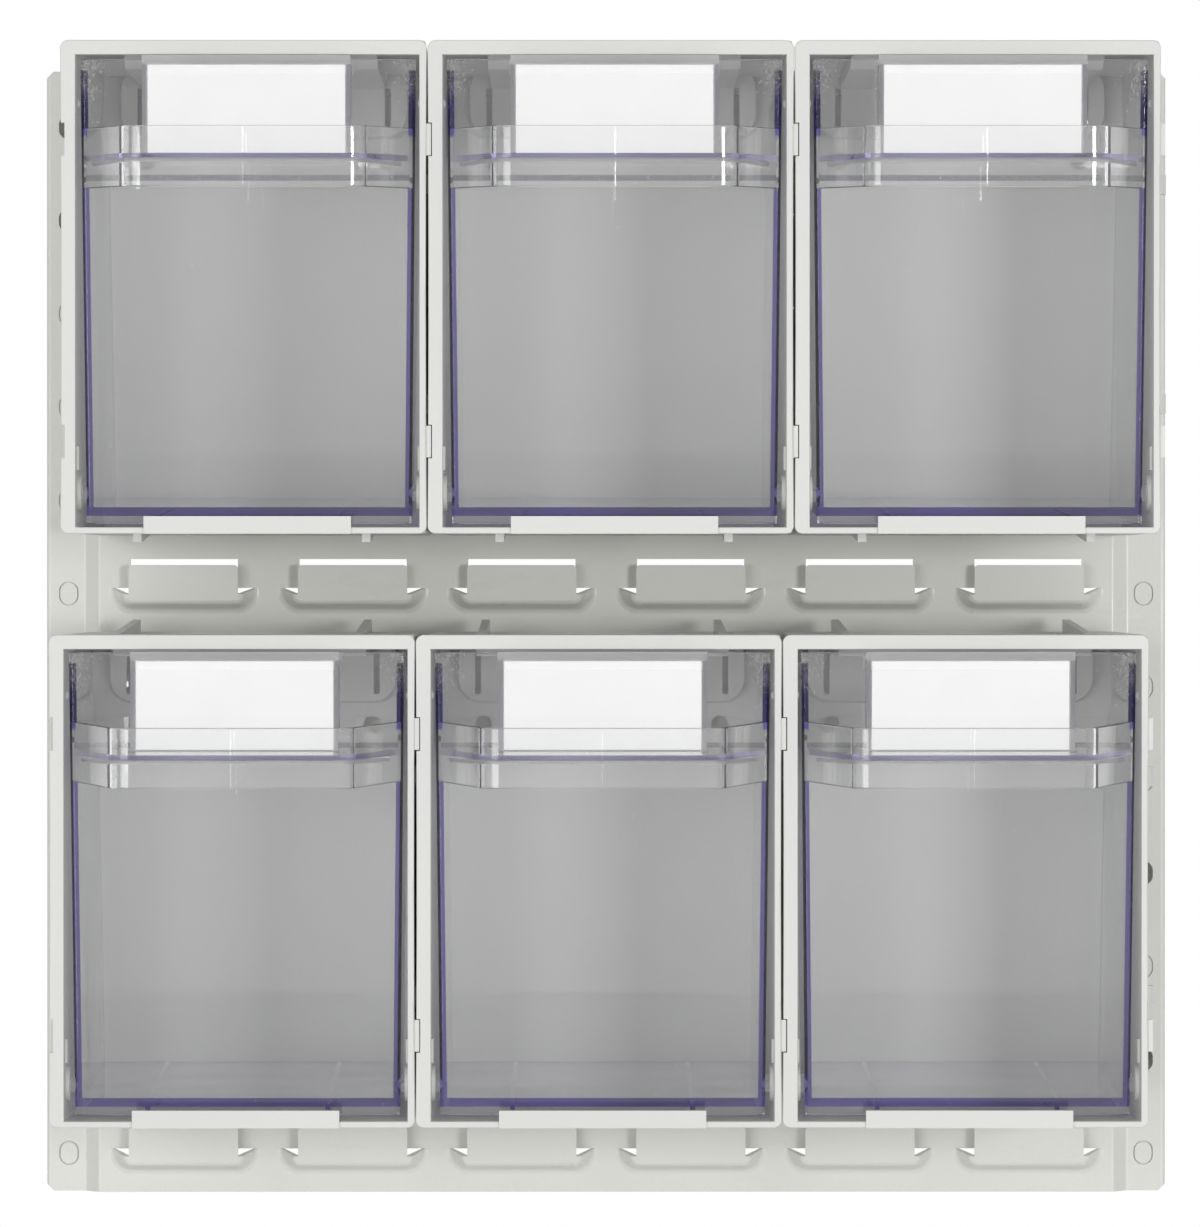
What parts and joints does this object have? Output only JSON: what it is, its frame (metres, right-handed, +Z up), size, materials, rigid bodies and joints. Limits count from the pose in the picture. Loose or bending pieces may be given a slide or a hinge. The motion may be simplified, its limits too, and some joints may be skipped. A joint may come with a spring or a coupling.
{
  "type": "wall-mounted tilt bin organizer",
  "caption": "Wall organizer: moulded housings side by side on a louvred sheet-steel panel, each with a clear tilt-out bin, a hooped grip and a label card.",
  "frame": {"origin": "middle of the rectangle of four free wall holes, in the plane of the wall", "axes": "+X to the viewer's right, +Z up, -Y towards the viewer; +Y points into the wall"},
  "size_m": [0.4, 0.1704, 0.4044],
  "materials": {
    "painted_steel": "warm light-grey powder coat, satin",
    "screw_steel": "zinc-plated, satin",
    "housing_plastic": "warm light-grey moulded plastic, fine satin",
    "clear_plastic": "clear blue-tinted plastic with darker violet edges, polished",
    "card": "white card, matte"
  },
  "bodies": {
    "wall_unit": {"louvred_panel": "painted_steel", "wall_screw_upper_left": "screw_steel", "wall_screw_upper_right": "screw_steel", "wall_screw_lower_left": "screw_steel", "wall_screw_lower_right": "screw_steel", "housing_top_left": "housing_plastic", "housing_top_middle": "housing_plastic", "housing_top_right": "housing_plastic", "housing_bottom_left": "housing_plastic", "housing_bottom_middle": "housing_plastic", "housing_bottom_right": "housing_plastic"},
    "tilt_top_left": {"bin_top_left": "clear_plastic", "label_top_left": "card"},
    "tilt_top_middle": {"bin_top_middle": "clear_plastic", "label_top_middle": "card"},
    "tilt_top_right": {"bin_top_right": "clear_plastic", "label_top_right": "card"},
    "tilt_bottom_left": {"bin_bottom_left": "clear_plastic", "label_bottom_left": "card"},
    "tilt_bottom_middle": {"bin_bottom_middle": "clear_plastic", "label_bottom_middle": "card"},
    "tilt_bottom_right": {"bin_bottom_right": "clear_plastic", "label_bottom_right": "card"}
  },
  "joints": [
    {"name": "tilt_hinge_top_left", "type": "hinge", "parent": "wall_unit", "child": "tilt_top_left", "pos_m": [-0.1212, -0.128, 0.00113], "axis": [1, 0, 0], "range_deg": [0, 40]},
    {"name": "tilt_hinge_top_middle", "type": "hinge", "parent": "wall_unit", "child": "tilt_top_middle", "pos_m": [0.0023, -0.128, 0.00113], "axis": [1, 0, 0], "range_deg": [0, 40]},
    {"name": "tilt_hinge_top_right", "type": "hinge", "parent": "wall_unit", "child": "tilt_top_right", "pos_m": [0.1258, -0.128, 0.00113], "axis": [1, 0, 0], "range_deg": [0, 40]},
    {"name": "tilt_hinge_bottom_left", "type": "hinge", "parent": "wall_unit", "child": "tilt_bottom_left", "pos_m": [-0.1252, -0.128, -0.19887], "axis": [1, 0, 0], "range_deg": [0, 40]},
    {"name": "tilt_hinge_bottom_middle", "type": "hinge", "parent": "wall_unit", "child": "tilt_bottom_middle", "pos_m": [-0.0017, -0.128, -0.19887], "axis": [1, 0, 0], "range_deg": [0, 40]},
    {"name": "tilt_hinge_bottom_right", "type": "hinge", "parent": "wall_unit", "child": "tilt_bottom_right", "pos_m": [0.1218, -0.128, -0.19887], "axis": [1, 0, 0], "range_deg": [0, 40]}
  ]
}
